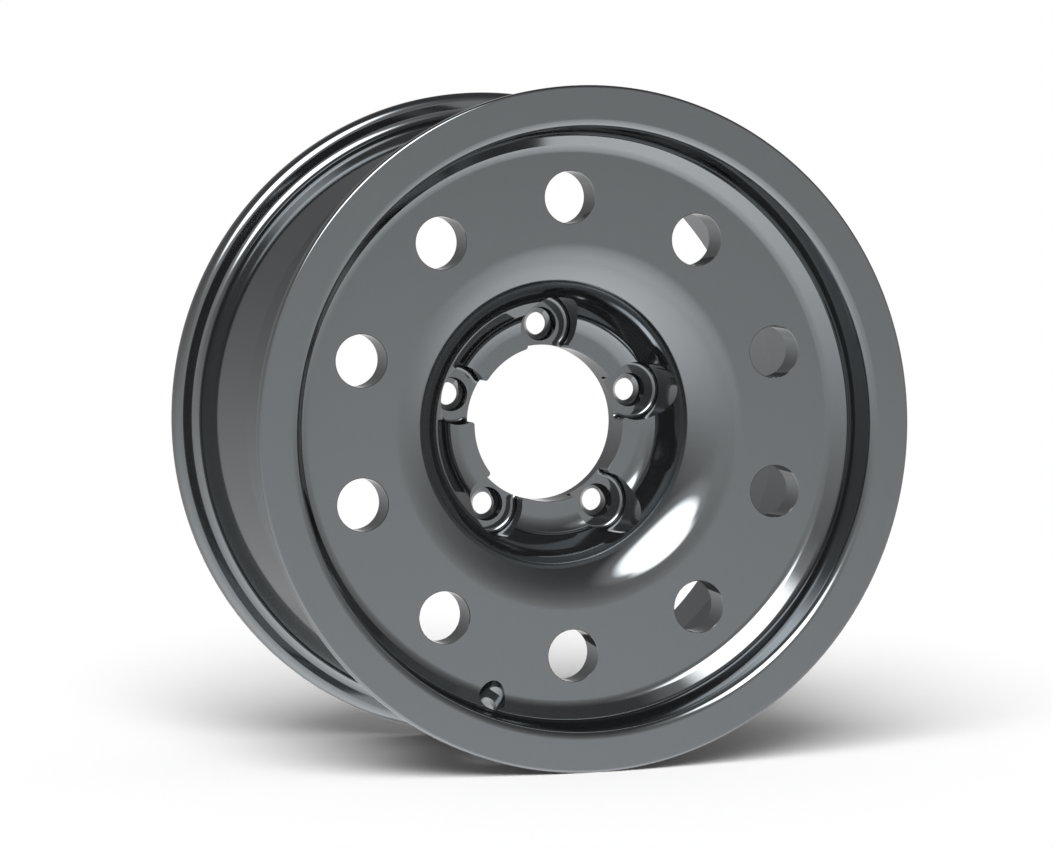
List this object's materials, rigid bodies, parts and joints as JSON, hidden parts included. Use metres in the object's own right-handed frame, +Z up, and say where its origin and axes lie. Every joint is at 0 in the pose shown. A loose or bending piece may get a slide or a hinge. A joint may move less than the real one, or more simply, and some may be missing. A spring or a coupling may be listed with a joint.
{
  "type": "wheel rim",
  "caption": "One-piece cast alloy wheel rim with a deep dished face, round vent holes, bolt pockets open to the centre bore and a drop-centre barrel.",
  "frame": {"origin": "centre of the rim, on the wheel's axis, in the plane of the hub's mounting face", "axes": "+Y along the wheel's axis, from the face towards the vehicle; -Y is the side that the picture shows; +Z up, through one bolt hole and one vent hole; +X to the right as seen from the face"},
  "size_m": [0.4712, 0.2414, 0.4712],
  "materials": {
    "gloss_grey_paint": "gloss dark grey paint over cast aluminium alloy"
  },
  "bodies": {
    "root": {"wheel_rim": "gloss_grey_paint"}
  },
  "joints": []
}
